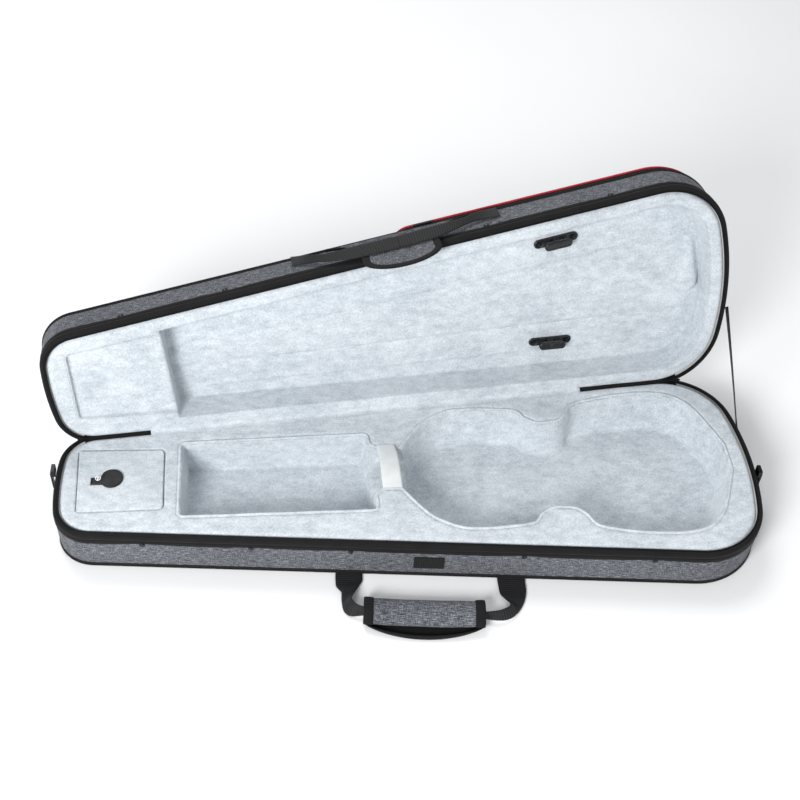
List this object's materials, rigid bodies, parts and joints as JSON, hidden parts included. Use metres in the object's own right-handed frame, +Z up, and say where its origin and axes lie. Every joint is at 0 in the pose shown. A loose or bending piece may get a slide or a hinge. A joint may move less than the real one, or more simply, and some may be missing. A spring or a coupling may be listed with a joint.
{
  "type": "violin case",
  "caption": "Dart-shaped padded violin case with a fabric-hinged lid, a shaped plush cavity, an accessory well, a lidded compartment, bow spinners, a rear pocket and two carrying handles.",
  "frame": {"origin": "middle of the base footprint, on the flat face the case stands on", "axes": "+X toward the wide end, -Y toward the handle side, +Z up; stored with the lid open"},
  "size_m": [0.8267, 0.4357, 0.3105],
  "materials": {
    "canvas": "matte",
    "foam": "matte",
    "plush": "matte",
    "black_tape": "matte",
    "black_webbing": "satin",
    "black_plastic": "satin",
    "black_leather": "satin",
    "satin": "satin",
    "red_piping": "satin",
    "steel": "satin"
  },
  "bodies": {
    "base": {"base_panel": "canvas", "base_core": "foam", "base_cover": "canvas", "base_piping": "black_tape", "base_zip_tape": "black_tape", "base_zip_teeth": "black_plastic", "base_lining": "plush", "velcro_patch": "black_tape", "base_stud_1": "black_plastic", "base_stud_2": "black_plastic", "base_stud_3": "black_plastic", "base_stud_4": "black_plastic", "base_stud_5": "black_plastic", "hinge_tape": "black_tape", "stay_strap": "black_webbing", "stay_anchor_base": "black_webbing"},
    "compartment_lid": {"compartment_lid": "plush", "tab_rivet": "steel"},
    "pull_tab": {"pull_tab": "black_leather"},
    "neck_strap": {"neck_strap": "satin"},
    "base_handle": {"base_handle_web_left": "black_webbing", "base_handle_web_right": "black_webbing", "base_grip_core": "black_tape", "base_grip_wrap": "canvas", "base_grip_binding_left": "black_tape", "base_grip_binding_right": "black_tape"},
    "zip_slider_narrow": {"zip_slider_narrow": "steel"},
    "zip_pull_narrow": {"zip_pull_narrow": "steel"},
    "zip_slider_wide": {"zip_slider_wide": "steel"},
    "zip_pull_wide": {"zip_pull_wide": "steel"},
    "lid": {"lid_panel": "canvas", "lid_core": "foam", "lid_cover": "canvas", "lid_piping": "black_tape", "lid_zip_tape": "black_tape", "lid_zip_teeth": "black_plastic", "lid_lining": "plush", "lid_stud_1": "black_plastic", "lid_stud_2": "black_plastic", "lid_stud_3": "black_plastic", "lid_stud_4": "black_plastic", "flap_panel": "canvas", "music_pocket": "canvas", "pocket_zip_tape": "black_tape", "pocket_piping": "red_piping", "stay_anchor_lid": "black_webbing", "bow_holder_1_plate": "black_plastic", "bow_holder_1_screw_left": "steel", "bow_holder_1_screw_right": "steel", "bow_holder_2_plate": "black_plastic", "bow_holder_2_screw_left": "steel", "bow_holder_2_screw_right": "steel"},
    "lid_handle": {"lid_handle_web": "black_webbing"},
    "tongue": {"flap_tongue": "canvas", "tongue_binding": "black_tape", "tongue_velcro": "black_tape"},
    "spinner_1": {"bow_holder_1_spinner": "black_plastic"},
    "spinner_2": {"bow_holder_2_spinner": "black_plastic"},
    "pocket_slider": {"pocket_slider": "steel"},
    "pocket_pull": {"pocket_pull": "steel"}
  },
  "joints": [
    {"name": "lid_hinge", "type": "hinge", "parent": "base", "child": "lid", "pos_m": [-0.3933, 0.0642, 0.0558], "axis": [0.996, 0.0898, 0], "range_deg": [0, 103.6], "deforming": ["hinge_tape", "stay_strap"]},
    {"name": "compartment_hinge", "type": "hinge", "parent": "base", "child": "compartment_lid", "pos_m": [-0.38, 0.0045, 0.0552], "axis": [-0.0449, 0.999, 0], "range_deg": [-100, 0]},
    {"name": "pull_tab_lift", "type": "hinge", "parent": "compartment_lid", "child": "pull_tab", "pos_m": [-0.362, 0.005, 0.0555], "axis": [0, 1, 0], "range_deg": [-75, 0], "deforming": ["pull_tab"]},
    {"name": "neck_strap_lift", "type": "hinge", "parent": "base", "child": "neck_strap", "pos_m": [-0.0265, 0.042, 0.0555], "axis": [0.9962, -0.0866, 0], "range_deg": [-110, 0]},
    {"name": "base_handle_swing", "type": "hinge", "parent": "base", "child": "base_handle", "pos_m": [0.01624, -0.10968, 0.002], "axis": [0.996, -0.0898, 0], "range_deg": [-65, 0]},
    {"name": "zip_narrow_slide", "type": "slide", "parent": "base", "child": "zip_slider_narrow", "axis": [0, 1, 0], "range_m": [-0.04, 0]},
    {"name": "zip_narrow_pull", "type": "hinge", "parent": "zip_slider_narrow", "child": "zip_pull_narrow", "pos_m": [-0.4104, 0.02, 0.0538], "axis": [0, 1, 0], "range_deg": [0, 95]},
    {"name": "zip_wide_slide", "type": "slide", "parent": "base", "child": "zip_slider_wide", "axis": [0, 1, 0], "range_m": [-0.035, 0]},
    {"name": "zip_wide_pull", "type": "hinge", "parent": "zip_slider_wide", "child": "zip_pull_wide", "pos_m": [0.406, -0.02, 0.0538], "axis": [0, 1, 0], "range_deg": [-95, 0]},
    {"name": "lid_handle_swing", "type": "hinge", "parent": "lid", "child": "lid_handle", "pos_m": [-0.0114, 0.19768, 0.24746], "axis": [0.9761, 0.1303, 0.1739], "range_deg": [-90, 0]},
    {"name": "tongue_lift", "type": "hinge", "parent": "lid", "child": "tongue", "pos_m": [-0.01182, 0.16556, 0.25656], "axis": [0.9761, 0.1303, 0.1739], "range_deg": [-72, 0]},
    {"name": "spinner_1_turn", "type": "hinge", "parent": "lid", "child": "spinner_1", "pos_m": [0.17508, 0.19221, 0.23264], "axis": [-0.0873, 0.968, -0.2351], "continuous": true},
    {"name": "spinner_2_turn", "type": "hinge", "parent": "lid", "child": "spinner_2", "pos_m": [0.18021, 0.16048, 0.10012], "axis": [-0.0873, 0.968, -0.2351], "continuous": true},
    {"name": "pocket_zip_slide", "type": "slide", "parent": "lid", "child": "pocket_slider", "axis": [0.9761, 0.1303, 0.1739], "range_m": [0, 0.24]},
    {"name": "pocket_pull_swing", "type": "hinge", "parent": "pocket_slider", "child": "pocket_pull", "pos_m": [0.02969, 0.20839, 0.2512], "axis": [-0.0873, 0.968, -0.2351], "range_deg": [0, 100]}
  ]
}
